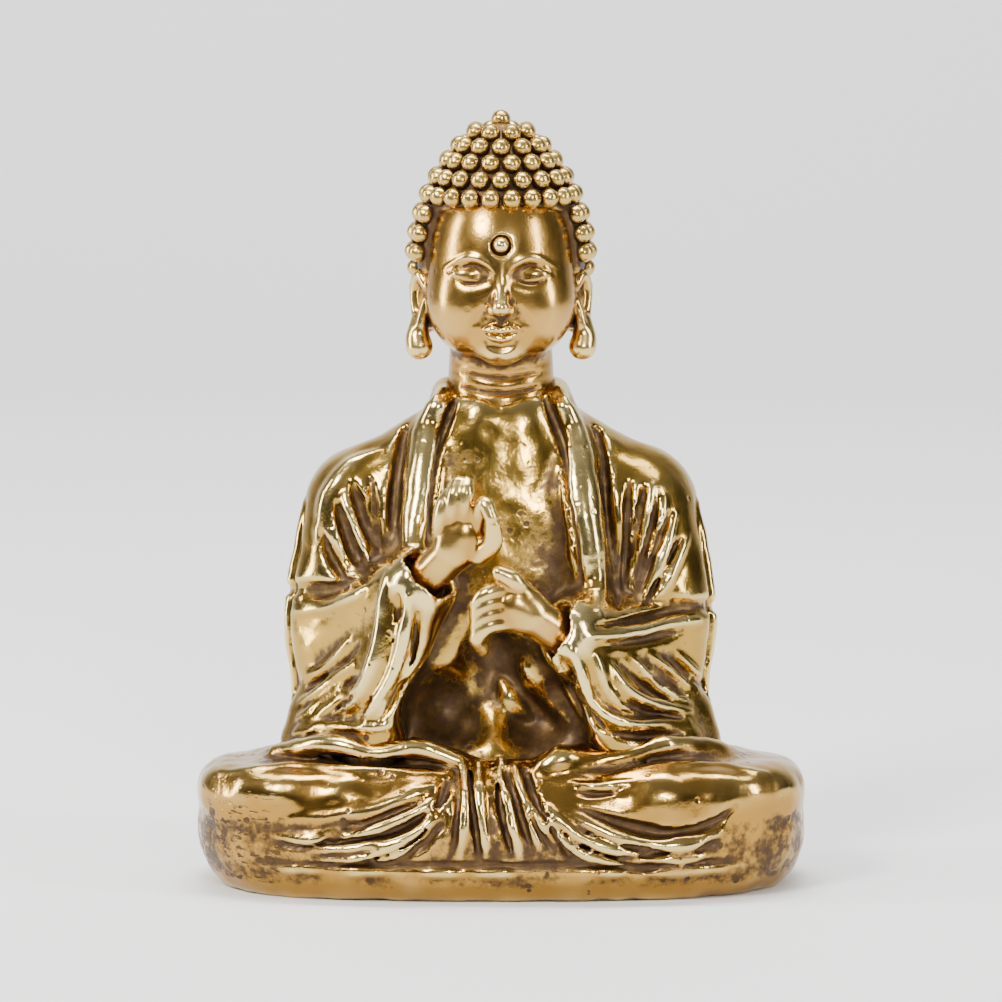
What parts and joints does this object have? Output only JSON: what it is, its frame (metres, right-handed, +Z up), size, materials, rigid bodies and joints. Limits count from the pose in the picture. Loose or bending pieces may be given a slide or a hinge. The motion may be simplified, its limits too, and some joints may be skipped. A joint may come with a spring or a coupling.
{
  "type": "buddha statue",
  "caption": "Small seated Buddha in antique brass: folded robed legs, open robe, hands raised before the chest, long ears and a tall curled crown.",
  "frame": {"origin": "centre of the bounding box in X and Y, at the height of the flat rim that the statue stands on", "axes": "+Z up, from the base to the crown; +Y towards the statue's back, so the face looks along -Y; +X towards the statue's own left hand"},
  "size_m": [0.0316, 0.0176, 0.0401],
  "materials": {
    "polished_brass": "cast, polished on the high places, with a dark brown patina in the folds",
    "dark_brass": "cast, with a dark brown patina and rubbed tops",
    "plate_brass": "rolled sheet, dull",
    "dowel_steel": "drawn rod, hidden in its holes"
  },
  "bodies": {
    "root": {"leg_casting": "polished_brass", "base_plate": "plate_brass", "body_casting": "polished_brass", "head_casting": "polished_brass", "hair_cap": "dark_brass", "urna_bead": "dark_brass", "right_hand": "polished_brass", "left_hand": "polished_brass", "neck_dowel": "dowel_steel", "right_seat_dowel": "dowel_steel", "left_seat_dowel": "dowel_steel", "right_wrist_dowel": "dowel_steel", "left_wrist_dowel": "dowel_steel"}
  },
  "joints": []
}
